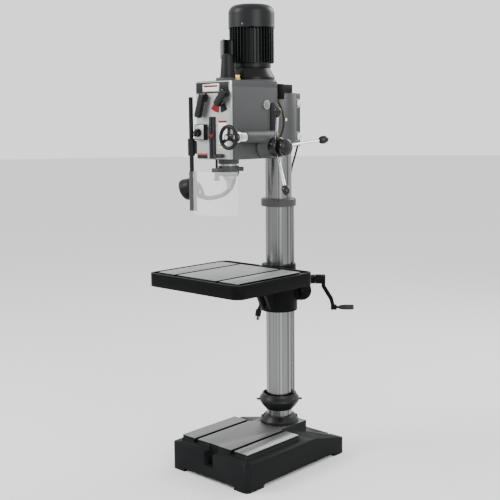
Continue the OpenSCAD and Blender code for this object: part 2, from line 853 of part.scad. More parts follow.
module stop_lever() {
    x0 = scale_x[1] + 12;
    z0 = head_z + 14;
    color("#1f2123") union() {
        translate([x0, 0, z0]) rod_y(4 - run_gap, head_front - 6, head_front + 2.8);
        translate([0, head_front - 7.4, 0]) upright(14)
            stroke([[x0, z0], [x0 + 26, z0 + 2]], 17);
    }
}

module switch_box() {
    w = switch_half[0];
    h = switch_half[1];
    color("#1f2123") difference() {
        translate([switch_box_x, head_front, switch_z]) rotate([90, 0, 0]) linear_extrude(18)
            rounded_rect(2 * w, 2 * h, 3);
        translate([switch_box_x - 4, 0, switch_z - 2]) rod_y(4, head_front - 19, head_front - 8);
    }
}

module switch_knob() {
    y = head_front - 18 - free_gap;
    color("#1d1e20") translate([switch_box_x - 4, 0, switch_z - 2]) {
        rod_y(4 - run_gap, y - 2, y + 9);
        rod_y(17, y - 6, y);
        rod_y(13, y - 16, y - 5);
        translate([0, y - 12, 0]) rotate([0, 25, 0]) box(-4, 4, -8, 5, -15, 15);
    }
}

// Broad paddle lever on the front panel: hub, shaft through the wall and grip
module shift_lever(pivot, angle, length) {
    y = head_front - free_gap;
    color("#1f2123") translate([pivot[0], 0, pivot[1]]) {
        rod_y(7 - run_gap, y - 2, head_front + 21);
        rod_y(19, y - 10, y);
        rod_y(14, y - 22, y - 9);
        translate([0, y - 21, 0]) rotate([0, -angle, 0]) upright(18)
            stroke([[6, 0], [length * 0.55, 0], [length - 14, 0]], 28);
        translate([0, head_front + 16.6, 0]) rotate([0, -angle, 0]) upright(8)
            stroke([[0, 0], [26, 0]], 16);
    }
}

module shift_lever_left() {
    shift_lever(left_pivot, left_angle, left_len);
}

module shift_lever_right() {
    shift_lever(right_pivot, right_angle, right_len);
}

module feed_gear_case() {
    color("#6b6c6f") difference() {
        union() {
            at_feed() {
                rod_x(hub_r - 1, case_half, barrel_end);
                rod_x(hub_r + 3, case_half, case_half + 12);
            }
            at_fine() rod_y(24, fine_y0, feed_y + 46);
            box(case_half, worm_x, feed_y - 60, feed_y + 40, fine_z - 20, fine_z + 14);
        }
        at_feed() {
            rod_x(shaft_r + run_gap, case_half - 1, barrel_end + 1);
            rod_x(34, worm_x - 12, worm_x + 12);
        }
        at_fine() {
            rod_y(fine_shaft_r + run_gap, fine_y0 - 1, feed_y + 38);
            rod_y(11.2, feed_y - 24, feed_y + 24);
        }
    }
}

module electrical_box() {
    color("#1f2123") union() {
        box(0, 80, head_back + 10, 2, clamp_top, clamp_top + 34);
        box(neck_half, 102, head_back + 1, -76, clamp_top - 29, clamp_top + 34);
        box(70, 90, -100, -60, clamp_top + 2, clamp_top + 34);
        translate(relief_at) rotate([-90, 0, 0]) {
            cylinder(r = 13, h = 6);
            cylinder(r1 = 9.5, r2 = 6, h = 35);
        }
        translate([90, head_back + 0.1, 1420]) rotate([-90, 0, 0]) cylinder(r = 7, h = 5.9);
    }
}

module feed_cable() {
    color("#2b2a22") route_tube(signal_route, signal_d / 2, 10);
}

module head_fittings() {
    color("#b9a05a") {
        translate([70, -326, 0]) {
            rod_z(7.8, head_top - 12, head_top + 2);
            rod_z(11, head_top + 0.2, head_top + 5);
            rod_z(9.5, head_top + 5, head_top + 22);
        }
        translate([case_half, -191, head_top - 95]) {
            rod_x(19, 0.1, 4);
            rod_x(13, 4, 6);
        }
        translate([case_half + 0.1, -150, head_top - 155]) rotate([90, 0, 90]) linear_extrude(5)
            stroke([[0, -52], [0, 52]], 34);
    }
}

module spring_cover() {
    color("#2a2c2f") at_feed() {
        difference() {
            rod_x(42, -case_half - 32, -case_half - 0.1);
            rod_x(38, -case_half - 29, -case_half + 1);
        }
        translate([-case_half - 26, 0, 0]) rotate([90, 0, 90]) linear_extrude(20) spring_outline();
    }
}

// Flat spiral spring in five turns between radii 18 and 36
module spring_outline() {
    turn = [for (i = [0:60]) let (a = i * 30, r = 18 + 19.2 * i / 60) [r, a]];
    polygon(concat([for (q = turn) (q[0] - 0.6) * [cos(q[1]), sin(q[1])]],
        [for (i = [60:-1:0]) let (q = turn[i]) (q[0] + 0.6) * [cos(q[1]), sin(q[1])]]));
}

// ---- Motor ----

module at_motor() {
    translate([0, motor_y, 0]) children();
}

module motor_adapter() {
    color("#1d1f21") at_motor() difference() {
        rotate_extrude() polygon([[60, motor_z], [cowl_r, motor_z], [cowl_r, motor_z + 11],
            [motor_r + 1, motor_z + 16], [76, cone_top - 2], [76, cone_top], [60, cone_top]]);
        for (a = [20:90:290]) rotate([0, 0, a]) translate([cowl_r - 9, 0, 0])
            rod_z(4, motor_z - 1, motor_z + 20);
    }
}

module motor_body() {
    color("#1d1f21") at_motor() difference() {
        union() {
            rotate_extrude() polygon([[46.2, cone_top + 0.2], [80, cone_top + 0.2],
                [80, fin_z0 - 3], [fin_root_r, fin_z0], [fin_root_r, fin_z1 - 6], [76, fin_z1],
                [46.2, fin_z1]]);
            for (i = [0:fin_count - 1]) rotate([0, 0, (i + 0.5) * 360 / fin_count])
                box(fin_root_r - 2, motor_r, -1.6, 1.6, fin_z0 + 2, fin_z1 + 0.8);
            rotate([0, 0, 235]) box(fin_root_r - 4, motor_r + 1, -34, 34, fin_z0 + 30, fin_z0 + 90);
            rod_z(60, cone_top + 0.2, cone_top + 14);
            rod_z(60, fin_z1 - 14, fin_z1);
        }
        rod_z(20 + seat_gap, cone_top + 2, cone_top + 15);
        rod_z(13, cone_top, cone_top + 5);
        rod_z(20 + seat_gap, fin_z1 - 15, fin_z1 - 2);
        rod_z(13, fin_z1 - 5, fin_z1 + 1);
    }
}

module fan_cowl() {
    z0 = fin_z1 + 1;
    crown = [for (i = [0:8]) let (a = i * 90 / 8) [64 + 32 * cos(a), motor_top - 34 + 34 * sin(a)]];
    inner = [for (i = [8:-1:0]) let (a = i * 90 / 8) [64 + 29 * cos(a), motor_top - 34 + 31 * sin(a)]];
    color("#222426") at_motor() difference() {
        rotate_extrude() polygon(concat([[94, z0], [cowl_r, z0]], crown, [[12, motor_top],
            [12, motor_top - 3]], inner, [[93, z0 + 3], [94, z0 + 3]]));
        for (i = [0:11]) rotate([0, 0, i * 30]) box(24, 58, -3.5, 3.5, motor_top - 5, motor_top + 1);
    }
}

module terminal_box() {
    color("#1d1f21") at_motor() rotate([0, 0, 235]) union() {
        box(motor_r + 1.1, 122, -38, 38, fin_z0 + 24, fin_z0 + 94);
        box(121, 126, -41, 41, fin_z0 + 21, fin_z0 + 97);
    }
}

module rotor() {
    pinion_z = high_gear_z;
    color("#8d8f92") at_motor() union() {
        rod_z(10, pinion_z - 4, fin_z1 + 36);
        rod_z(45.6, fin_z0 + 14, fin_z1 - 22);
        translate([0, 0, pinion_z]) linear_extrude(gear_w)
            polygon(gear_points(gear_module, motor_teeth));
        rod_z(22, fin_z1 + 14, fin_z1 + 34);
        rod_z(74, fin_z1 + 14, fin_z1 + 17);
        for (a = [0:45:315]) rotate([0, 0, a]) box(20, 74, -1.5, 1.5, fin_z1 + 15, fin_z1 + 34);
    }
}

module gear_bearings() {
    color("#b9bbbe") {
        at_spindle() {
            tube(24, 17 + run_gap, shelf_z, shelf_z + shelf_t);
            tube(24, 17 + run_gap, cover_z + 9, head_top - 3);
        }
        translate([0, lay_y, 0]) {
            tube(16, 9 + run_gap, shelf_z, shelf_z + shelf_t);
            tube(16, 9 + run_gap, cover_z, cover_z + 11);
        }
        at_motor() {
            tube(20, 10 + run_gap, cone_top + 5, cone_top + 14);
            tube(20, 10 + run_gap, fin_z1 - 14, fin_z1 - 5);
        }
    }
}

module layshaft() {
    gap_turn = 180 / lay_teeth;
    color("#8d8f92") translate([0, lay_y, 0]) union() {
        rod_z(9, shelf_z + 1, cover_z + 10);
        translate([0, 0, low_gear_z]) linear_extrude(gear_w) rotate(-90)
            polygon(gear_points(gear_module, lay_pinion_teeth));
        translate([0, 0, high_gear_z]) linear_extrude(gear_w) rotate(90 + gap_turn)
            polygon(gear_points(gear_module, lay_teeth));
    }
}

module spline(r) {
    union() {
        circle(r - 2.5);
        for (i = [0:spline_n - 1]) rotate(i * 360 / spline_n)
            translate([0, -r * 0.22]) square([r, r * 0.44]);
    }
}

module drive_sleeve() {
    color("#8d8f92") at_spindle() difference() {
        union() {
            rod_z(17, shelf_z + 1, head_top - 4);
            translate([0, 0, low_gear_z]) linear_extrude(gear_w) rotate(90 + 180 / spindle_teeth)
                polygon(gear_points(gear_module, spindle_teeth));
        }
        translate([0, 0, shelf_z]) linear_extrude(head_top - shelf_z) union() {
            circle(spline_r - 2.5 + free_gap);
            for (i = [0:spline_n - 1]) rotate(i * 360 / spline_n)
                translate([0, -spline_r * 0.22 - free_gap])
                    square([spline_r + free_gap, spline_r * 0.44 + 2 * free_gap]);
        }
    }
}

module spindle_cover() {
    z0 = head_top + 13;
    z1 = z0 + 96;
    color("#1f2123") at_spindle() rotate_extrude() polygon([[20, z0], [34, z0], [34, z0 + 4],
        [30, z0 + 5], [24, z1 - 7], [21, z1 - 2], [16, z1], [0, z1], [0, z1 - 4], [16, z1 - 4],
        [19, z1 - 10]]);
}

// ---- Quill and spindle ----

module quill() {
    color("#b9bbbe") union() {
        at_spindle() difference() {
            rod_z(quill_r, quill_z, quill_top);
            rod_z(spindle_r + 3, quill_z - 1, quill_top + 1);
            rod_z(25 + seat_gap, quill_z - 1, quill_z + 24);
            rod_z(25 + seat_gap, quill_top - 20, quill_top + 1);
        }
        rotate([0, 0, 90]) upright(20) polygon(rack_points(feed_module, quill_rack_y, 1,
            spindle_y + quill_r - 1, feed_z - 14, feed_z + quill_travel + 8, feed_z));
    }
}

module quill_collar() {
    z1 = collar_z0 + collar_t;
    color("#77797c") difference() {
        union() {
            at_spindle() {
                rod_z(spindle_collar_r, collar_z0 + 9, z1);
                rod_z(spindle_collar_r - 3, collar_z0, z1);
                rotate([0, 0, 30]) translate([0, 0, z1 - 13]) rod_x(9, 36, 62);
            }
            box(-26, 10, spindle_y - 74, spindle_y - 28, z1 - 26, z1 - 8);
        }
        at_spindle() rod_z(quill_r + seat_gap, collar_z0 - 1, z1 + 1);
        translate([depth_x, depth_y, 0]) rod_z(depth_rod_r + seat_gap, z1 - 40, z1);
    }
}

module quill_bearings() {
    color("#b9bbbe") at_spindle() {
        tube(25, spindle_r + run_gap, quill_z + 4, quill_z + 24);
        tube(25, spindle_r + run_gap, quill_top - 20, quill_top - 4);
    }
}

module depth_rod() {
    z0 = head_z - 87;
    color("#1f2123") translate([depth_x, depth_y, 0]) union() {
        rod_z(depth_rod_r, z0, head_z + 160);
        rod_z(12, z0, z0 + 9);
        rod_z(9, z0 + 9, collar_z0 + collar_t - 26.2);
    }
}

module spindle() {
    color("#9b9da0") at_spindle() union() {
        rod_z(spindle_r, quill_z, quill_top + 2);
        rotate_extrude() polygon([[0, nose_z], [8, nose_z], [9.6, quill_z - 30], [12, quill_z - 28],
            [13, quill_z - 24], [22, quill_z - 13], [24, quill_z - 12], [24, quill_z - 0.5],
            [0, quill_z - 0.5]]);
        rod_z(spindle_r - 1, quill_z - 1, quill_z + 1);
        translate([0, 0, quill_top + 1]) linear_extrude(head_top + 93 - quill_top)
            spline(spline_r);
    }
}

// ---- Feed ----

module feed_shaft() {
    color("#8d8f92") at_feed() difference() {
        union() {
            rod_x(shaft_r, -case_half - 16, hub_x1);
            rotate([90, 0, 90]) linear_extrude(24, center = true) rotate(180 + 180 / feed_teeth)
                polygon(gear_points(feed_module, feed_teeth));
        }
        rod_x(8 + run_gap, hub_x1 - 24, hub_x1 + 1);
    }
}

module worm_wheel() {
    color("#b08d45") at_feed() difference() {
        translate([worm_x, 0, 0]) rotate([90, 0, 90]) linear_extrude(20, center = true)
            polygon(gear_points(1.6, 38));
        rod_x(shaft_r + run_gap, worm_x - 20, worm_x + 20);
    }
}

// Turns children from a feed lever's own axis, +Z, to each lever's place
module lever_places() {
    for (a = lever_angles) at_feed() rotate([a, 0, 0]) translate([lever_root_x, lever_root_r, 0])
        rotate([0, 0, -lever_lean]) rotate([-90, 0, 0]) children();
}

module feed_hub() {
    color("#1d1f21") difference() {
        at_feed() {
            rod_x(hub_r, hub_x0, hub_x1 - 5);
            translate([hub_x1 - 5, 0, 0]) rotate([0, 90, 0]) cylinder(r1 = hub_r, r2 = hub_r - 5, h = 5);
        }
        at_feed() rod_x(shaft_r + seat_gap, hub_x0 - 1, hub_x1 + 1);
        lever_places() rod_z(lever_d / 2 + seat_gap, -2, 60);
    }
}

module hub_cap() {
    color("#1d1f21") at_feed() union() {
        rod_x(8, hub_x1 - 20, cap_x0 + 1);
        rod_x(22, hub_x1 + free_gap, cap_x0 + 1);
        rod_x(cap_r, cap_x0, cap_x1 - 5);
        translate([cap_x1 - 5, 0, 0]) rotate([0, 90, 0]) cylinder(r1 = cap_r, r2 = cap_r - 5, h = 5);
    }
}

module feed_levers() {
    color("#d5d7da") lever_places() rod_z(lever_d / 2, 0, lever_len - 4);
}

module feed_knobs() {
    color("#1d1e20") difference() {
        lever_places() translate([0, 0, lever_len]) rotate_extrude()
            polygon(egg_points(knob_len, knob_r));
        lever_places() rod_z(lever_d / 2 + seat_gap, 0, lever_len - 3.8);
    }
}

module fine_feed_worm() {
    color("#d5d7da") at_fine() union() {
        rod_y(fine_shaft_r, fine_wheel_y - 14, feed_y + 37);
        for (i = [0:7]) translate([0, feed_y - 18 + i * 5, 0]) rod_y(10.3, -1, 1);
        rod_y(17, head_front - 1, head_front + 10);
        rod_y(21, head_front + 9, fine_y0 - free_gap);
    }
}

module fine_feed_wheel() {
    ring_r0 = 7.5;
    color("#1d1e20") at_fine() difference() {
        union() {
            translate([0, fine_wheel_y, 0]) rotate([90, 0, 0]) rotate_extrude()
                translate([wheel_d / 2 - ring_r0, 0]) circle(ring_r0, $fn = 32);
            rod_y(14, fine_wheel_y - 10, fine_wheel_y + 16);
            for (a = [30:120:270]) translate([0, fine_wheel_y + 3, 0]) rotate([0, a, 0])
                box(10, wheel_d / 2 - ring_r0, -2.5, 2.5, -7, 7);
        }
        rod_y(fine_shaft_r + seat_gap, fine_wheel_y - 15, fine_wheel_y + 17);
    }
}

// ---- Guard and lamp ----

module guard_clamp() {
    z0 = head_z + 13;
    color("#1f2123") difference() {
        union() {
            translate([rod_x, rod_y, 0]) rod_z(15, z0, z0 + 70);
            box(rod_x, -case_half - 0.1, rod_y + 2, rod_y + 14, z0 + 8, z0 + 62);
            translate([rod_x, rod_y, z0 + 35]) {
                rod_y(5, 14, 28);
                rod_y(12, 27, 40);
            }
        }
        translate([rod_x, rod_y, 0]) rod_z(rod_d / 2 + run_gap, z0 - 1, z0 + 71);
    }
}

module guard_rod() {
    color("#1f2123") translate([rod_x, rod_y, 0]) rod_z(rod_d / 2, rod_z0, rod_z1);
}

module guard_hinge() {
    color("#55585b") translate([rod_x, rod_y, 0]) difference() {
        union() {
            rod_z(hinge_r, rod_z0, rod_z0 + 164);
            box(8, 26, -2.2, 2, rod_z0, rod_z0 + 164);
        }
        rod_z(rod_d / 2 + run_gap, rod_z0 - 1, rod_z0 + 165);
    }
}

module guard_shield() {
    n = len(shield_path);
    color([0.85, 0.87, 0.9, 0.5]) translate([0, 0, guard_z]) linear_extrude(shield_h)
        polygon(concat([for (i = [0:n - 1]) beside(shield_path, i, shield_t / 2)],
            [for (i = [n - 1:-1:0]) beside(shield_path, i, -shield_t / 2)]));
}

module lamp_arm() {
    tip = lamp_pivot;
    color("#1f2123") union() {
        translate([lamp_foot[0], lamp_foot[1], 0]) rod_z(20, head_z - 8, head_z);
        route_tube(lamp_route, lamp_tube_r, 10);
        translate(tip) sphere(r = 13);
    }
}

// Lamp with its own +Z axis towards the light
module lamp_head() {
    back = lamp_rim - 66 * lamp_dir;
    color("#1d1e20") union() {
        translate(lamp_rim) along(lamp_dir) rotate_extrude() polygon([[0, -12], [38, -4], [40, 0],
            [lamp_d / 2, 0], [lamp_d / 2, -12], [lamp_d / 2 - 3, -22], [40, -42], [33, -56],
            [20, -66], [0, -66]]);
        for (y = [-14.6, 14.6]) translate([lamp_pivot[0], lamp_pivot[1] + y, lamp_pivot[2]])
            upright(2.4) stroke([[0, 0], [-8, 22], [-26, 46]], 16);
    }
}

// ---- Cables ----

module power_cord() {
    color("#18191a") route_tube(cord_route, mains_d / 2, 10);
}

module plug() {
    color("#18191a") translate(cord_route[len(cord_route) - 1]) along(plug_dir) union() {
        cylinder(r1 = 6, r2 = 9, h = 14);
        translate([0, 0, 13]) linear_extrude(30) rounded_rect(26, 22, 5);
        for (y = [-6.3, 6.3]) translate([-3.2, y - 0.8, 40]) cube([6.4, 1.6, 21]);
        translate([7, 0, 40]) cylinder(r = 2.4, h = 22);
    }
}

place() base_casting();
place() column();
place() column_flange();
place() rack_collar_lower();
place() rack_ring_upper();
place() stand_bolts();
place() rack_bar();
place() table_bracket();
place() table();
place() table_bolts();
place() lift_gear();
place() lift_worm();
place() crank_arm();
place() crank_grip();
place() table_lock_handle();
place() head_housing();
place() head_cover();
place() front_panel();
place() depth_scale();
place() depth_marker();
place() stop_lever();
place() switch_box();
place() switch_knob();
place() shift_lever_left();
place() shift_lever_right();
place() feed_gear_case();
place() electrical_box();
place() feed_cable();
place() head_fittings();
place() spring_cover();
place() motor_body();
place() motor_adapter();
place() fan_cowl();
place() terminal_box();
place() rotor();
place() gear_bearings();
place() layshaft();
place() drive_sleeve();
place() spindle_cover();
place() quill();
place() quill_collar();
place() quill_bearings();
place() depth_rod();
place() spindle();
place() feed_shaft();
place() worm_wheel();
place() feed_hub();
place() hub_cap();
place() feed_levers();
place() feed_knobs();
place() fine_feed_worm();
place() fine_feed_wheel();
place() guard_clamp();
place() guard_rod();
place() guard_hinge();
place() guard_shield();
place() lamp_arm();
place() lamp_head();
place() power_cord();
place() plug();
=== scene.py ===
import json
import math

import bmesh
import bpy
from mathutils import Matrix, Vector

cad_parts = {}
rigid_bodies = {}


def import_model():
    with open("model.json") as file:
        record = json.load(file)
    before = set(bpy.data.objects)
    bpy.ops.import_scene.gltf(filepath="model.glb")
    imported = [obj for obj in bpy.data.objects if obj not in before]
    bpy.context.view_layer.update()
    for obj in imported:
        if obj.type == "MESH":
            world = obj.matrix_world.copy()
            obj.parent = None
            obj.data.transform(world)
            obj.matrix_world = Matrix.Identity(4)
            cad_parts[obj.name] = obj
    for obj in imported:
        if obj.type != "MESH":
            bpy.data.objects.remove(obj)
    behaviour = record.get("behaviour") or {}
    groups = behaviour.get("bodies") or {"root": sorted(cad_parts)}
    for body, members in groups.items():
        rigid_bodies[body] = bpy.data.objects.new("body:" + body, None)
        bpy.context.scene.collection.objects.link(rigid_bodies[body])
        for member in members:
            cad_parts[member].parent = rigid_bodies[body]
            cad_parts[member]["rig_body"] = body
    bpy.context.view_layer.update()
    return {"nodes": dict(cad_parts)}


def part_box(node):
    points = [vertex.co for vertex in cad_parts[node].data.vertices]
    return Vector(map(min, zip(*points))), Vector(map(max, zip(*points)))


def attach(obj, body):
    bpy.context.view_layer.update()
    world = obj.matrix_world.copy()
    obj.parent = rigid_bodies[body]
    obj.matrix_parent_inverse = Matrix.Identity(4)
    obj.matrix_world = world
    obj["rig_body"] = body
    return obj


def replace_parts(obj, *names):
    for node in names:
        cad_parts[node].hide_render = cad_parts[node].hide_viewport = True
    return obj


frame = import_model()
nodes = frame["nodes"]

MM = 0.001
column_lo, column_hi = (Vector(c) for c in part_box("column"))
COLUMN_X = (column_lo.x + column_hi.x) / 2
COLUMN_Y = (column_lo.y + column_hi.y) / 2
FRONT = -393
MOTOR_Y = -166
OUT = Vector((0, -1, 0))
RIGHT = Vector((1, 0, 0))
UP = Vector((0, 0, 1))


def at(x, y, z):
    """A point given in millimetres from the column's axis at the floor."""
    return Vector((COLUMN_X + x * MM, COLUMN_Y + y * MM, z * MM))


# ---- Camera ----


CAMERA_PLACE = (2584.7, -2968.3, 1476.1)
CAMERA_TURNS = (42.9, 7.9, -0.5)
CAMERA_LENS = 64.58
SENSOR_WIDTH = 36


def add_camera():
    """The camera, from its yaw, pitch and roll in degrees."""
    yaw, pitch, roll = (math.radians(turn) for turn in CAMERA_TURNS)
    ahead = Vector((-math.sin(yaw) * math.cos(pitch), math.cos(yaw) * math.cos(pitch), -math.sin(pitch)))
    right = Vector((math.cos(yaw), math.sin(yaw), 0))
    up = right.cross(ahead)
    side = right * math.cos(roll) + up * math.sin(roll)
    top = up * math.cos(roll) - right * math.sin(roll)
    data = bpy.data.cameras.new("camera")
    data.sensor_width = SENSOR_WIDTH
    data.lens = CAMERA_LENS
    camera = bpy.data.objects.new("camera", data)
    bpy.context.scene.collection.objects.link(camera)
    turn = Matrix((side, top, -ahead)).transposed().to_4x4()
    camera.matrix_world = Matrix.Translation(at(*CAMERA_PLACE)) @ turn
    bpy.context.scene.camera = camera


add_camera()

# ---- Materials ----

DULL = {"Specular_IOR_Level": 0.16}
FLAT = {"Specular_IOR_Level": 0.05}


class Look:
    """One material, built from a Principled shader with its pattern in Object coordinates."""

    def __init__(self, name, colour, rough, metal=0.0, **sockets):
        self.material = bpy.data.materials.new(name)
        self.material.use_nodes = True
        self.tree = self.material.node_tree
        self.shader = self.tree.nodes["Principled BSDF"]
        self.shader.inputs["Base Color"].default_value = (*colour, 1)
        self.shader.inputs["Roughness"].default_value = rough
        self.shader.inputs["Metallic"].default_value = metal
        for socket, value in sockets.items():
            self.shader.inputs[socket.replace("_", " ")].default_value = value
        self.material.diffuse_color = (*colour, 1)
        self.place = None

    def node(self, kind, **settings):
        made = self.tree.nodes.new(kind)
        for key, value in settings.items():
            setattr(made, key, value)
        return made

    def link(self, a, b):
        self.tree.links.new(a, b)

    def coordinates(self, scale=(1, 1, 1)):
        if self.place is None:
            self.place = self.node("ShaderNodeTexCoord")
        mapping = self.node("ShaderNodeMapping")
        mapping.inputs["Scale"].default_value = scale
        self.link(self.place.outputs["Object"], mapping.inputs["Vector"])
        return mapping.outputs["Vector"]

    def noise(self, size, scale=(1, 1, 1), detail=4):
        made = self.node("ShaderNodeTexNoise")
        made.inputs["Scale"].default_value = size
        made.inputs["Detail"].default_value = detail
        self.link(self.coordinates(scale), made.inputs["Vector"])
        return made.outputs["Fac"]

    def spread(self, fac, low, high):
        """Stretch a noise to run from low to high."""
        made = self.node("ShaderNodeMapRange")
        made.inputs["From Min"].default_value = 0.3
        made.inputs["From Max"].default_value = 0.7
        made.inputs["To Min"].default_value = low
        made.inputs["To Max"].default_value = high
        self.link(fac, made.inputs["Value"])
        return made.outputs["Result"]

    def grain(self, fac, strength, depth=0.0002):
        made = self.node("ShaderNodeBump")
        made.inputs["Strength"].default_value = strength
        made.inputs["Distance"].default_value = depth
        self.link(fac, made.inputs["Height"])
        self.link(made.outputs["Normal"], self.shader.inputs["Normal"])
        return self

    def mottle(self, fac, low, high):
        """Colour runs from low to high along a noise."""
        made = self.node("ShaderNodeMix", data_type="RGBA")
        made.inputs[6].default_value = (*low, 1)
        made.inputs[7].default_value = (*high, 1)
        self.link(self.spread(fac, 0, 1), made.inputs["Factor"])
        self.link(made.outputs[2], self.shader.inputs["Base Color"])
        return self


def gray(value, tint=0.0):
    return (value * (1 - tint), value, value * (1 + tint))


BRIGHT = gray(0.75)
HEAD_FOOT = 1.3


def scaled(colour, k):
    return tuple(c * k for c in colour)


def paint(name, colour, rough):
    """Sprayed enamel with a faint orange-peel."""
    look = Look(name, colour, rough, **DULL)
    look.grain(look.noise(260), 0.25, 0.00015)
    look.mottle(look.noise(9), scaled(colour, 0.94), scaled(colour, 1.06))
    return look.material


def cast_paint(name, colour, rough=0.42):
    """Enamel over a rough sand casting."""
    look = Look(name, colour, rough, **FLAT)
    look.grain(look.noise(420, detail=6), 0.55, 0.0003)
    look.mottle(look.noise(14), scaled(colour, 0.85), scaled(colour, 1.15))
    return look.material


def turned(name, colour, rough=0.28, streak=(900, 900, 12)):
    """Ground or turned steel, with its marks along one way."""
    look = Look(name, colour, rough, 1.0)
    marks = look.noise(1, streak, 5)
    look.mottle(marks, scaled(colour, 0.8), scaled(colour, 1.15))
    wear = look.spread(look.noise(1, streak, 3), rough * 0.8, rough * 1.3)
    look.link(wear, look.shader.inputs["Roughness"])
    look.grain(marks, 0.12, 0.0001)
    return look.material


def column_look():
    """Ground tube: bright, with dark and pale bands of painted reflection that run up it, spaced by noise
    around the axis.
    """
    look = Look("column_steel", gray(0.2, 0.01), 0.24, 1.0)
    split = look.node("ShaderNodeSeparateXYZ")
    centred = look.node("ShaderNodeVectorMath", operation="SUBTRACT")
    centred.inputs[1].default_value = (COLUMN_X, COLUMN_Y, 0)
    look.link(look.coordinates(), centred.inputs[0])
    look.link(centred.outputs[0], split.inputs["Vector"])
    angle = look.node("ShaderNodeMath", operation="ARCTAN2")
    look.link(split.outputs["Y"], angle.inputs[0])
    look.link(split.outputs["X"], angle.inputs[1])
    painted_reflection_bands = look.node("ShaderNodeTexNoise", noise_dimensions="1D")
    painted_reflection_bands.inputs["Scale"].default_value = 5
    painted_reflection_bands.inputs["Detail"].default_value = 3
    look.link(angle.outputs["Value"], painted_reflection_bands.inputs["W"])
    # painted reflection: the base colour swings from dark to pale around the tube, standing in for
    # reflected streaks
    look.mottle(painted_reflection_bands.outputs["Fac"], gray(0.055, 0.01), gray(0.31, 0.01))
    look.grain(look.noise(1, (900, 900, 30), 4), 0.1, 0.0001)
    return look.material


def bolt_look(level):
    """Plated fasteners: bright above one level and blackened below it."""
    look = Look("stand_bolt", BRIGHT, 0.32, 0.7)
    split = look.node("ShaderNodeSeparateXYZ")
    look.link(look.coordinates(), split.inputs["Vector"])
    high = look.node("ShaderNodeMath", operation="GREATER_THAN")
    high.inputs[1].default_value = level
    look.link(split.outputs["Z"], high.inputs[0])
    look.mottle(high.outputs["Value"], gray(0.012), BRIGHT)
    return look.material


def plain(name, colour, rough, metal=0.0, **sockets):
    return Look(name, colour, rough, metal, **sockets).material


def machined_top(name, paint_colour, steel_colour, node):
    """A painted casting whose highest flat face is milled bright."""
    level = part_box(node)[1][2] - 0.0006
    look = Look(name, paint_colour, 0.45, **FLAT)
    split = look.node("ShaderNodeSeparateXYZ")
    look.link(look.coordinates(), split.inputs["Vector"])
    facing = look.node("ShaderNodeNewGeometry")
    upward = look.node("ShaderNodeSeparateXYZ")
    look.link(facing.outputs["Normal"], upward.inputs["Vector"])
    high = look.node("ShaderNodeMath", operation="GREATER_THAN")
    high.inputs[1].default_value = level
    look.link(split.outputs["Z"], high.inputs[0])
    flat = look.node("ShaderNodeMath", operation="GREATER_THAN")
    flat.inputs[1].default_value = 0.6
    look.link(upward.outputs["Z"], flat.inputs[0])
    top = look.node("ShaderNodeMath", operation="MULTIPLY")
    look.link(high.outputs["Value"], top.inputs[0])
    look.link(flat.outputs["Value"], top.inputs[1])
    mill = look.node("ShaderNodeMix", data_type="RGBA")
    mill.inputs[6].default_value = (*scaled(steel_colour, 0.85), 1)
    mill.inputs[7].default_value = (*scaled(steel_colour, 1.15), 1)
    look.link(look.spread(look.noise(1, (400, 14, 14), 5), 0, 1), mill.inputs["Factor"])
    mix = look.node("ShaderNodeMix", data_type="RGBA")
    mix.inputs[6].default_value = (*paint_colour, 1)
    look.link(mill.outputs[2], mix.inputs[7])
    look.link(top.outputs["Value"], mix.inputs["Factor"])
    look.link(mix.outputs[2], look.shader.inputs["Base Color"])
    shine = look.node("ShaderNodeMapRange")
    shine.inputs["To Min"].default_value = 0
    shine.inputs["To Max"].default_value = 0.85
    look.link(top.outputs["Value"], shine.inputs["Value"])
    look.link(shine.outputs["Result"], look.shader.inputs["Metallic"])
    look.grain(look.noise(380, detail=6), 0.4, 0.0002)
    return look.material


BLACK = gray(0.003, 0.05)
base_black = cast_paint("base_black", BLACK)
head_gray = paint("head_gray", gray(0.05, 0.02), 0.45)
panel_silver = turned("panel_silver", gray(0.37, 0.015), 0.42, (12, 700, 700))
satin_black = paint("satin_black", gray(0.007, 0.05), 0.42)
gloss_black = plain("gloss_black", gray(0.005), 0.2, Specular_IOR_Level=0.3)
motor_black = paint("motor_black", gray(0.004, 0.08), 0.35)
cowl_gray = paint("cowl_gray", gray(0.009, 0.06), 0.36)
column_steel = column_look()
round_steel = turned("round_steel", gray(0.3, 0.01), 0.3)
stand_bolt = bolt_look(HEAD_FOOT)
bright_bolt = plain("bright_bolt", BRIGHT, 0.32, 0.7)
dark_steel = turned("dark_steel", gray(0.12, 0.02), 0.34, (60, 60, 500))
ring_gray = paint("ring_gray", gray(0.045), 0.4)
collar_black = paint("collar_black", gray(0.009, 0.03), 0.35)
chrome = plain("chrome", gray(0.62, 0.01), 0.1, 1.0)
brass = plain("brass", (0.45, 0.3, 0.1), 0.25, 1.0)
bronze = plain("bronze", (0.4, 0.25, 0.08), 0.35, 1.0)
red = plain("red", (0.16, 0.004, 0.008), 0.4, **DULL)
orange = plain("orange", (0.3, 0.035, 0.006), 0.4, **DULL)
yellow = plain("yellow", (0.45, 0.28, 0.02), 0.45, **DULL)
tick_gray = plain("tick_gray", gray(0.1), 0.5, **DULL)
box_black = plain("box_black", gray(0.002), 0.5, **FLAT)
white_label = plain("white_label", gray(0.68), 0.45, **DULL)
silver_label = plain("silver_label", gray(0.3, 0.01), 0.35, 0.6)
window_glass = plain("window_glass", gray(0.12, 0.02), 0.08, Coat_Weight=0.4)
lens_glass = plain("lens_glass", gray(0.6), 0.12, Coat_Weight=1.0)
cable_rubber = plain("cable_rubber", gray(0.01), 0.55, **DULL)
wrap_olive = plain("wrap_olive", (0.07, 0.06, 0.018), 0.5, **DULL)
cord_rubber = plain("cord_rubber", gray(0.007), 0.5, **DULL)
clear_sheet = plain("clear_sheet", gray(0.93, 0.01), 0.03, Transmission_Weight=0.0, Alpha=0.16, IOR=1.45)
table_top = machined_top("table_machined", BLACK, gray(0.28, 0.015), "table")
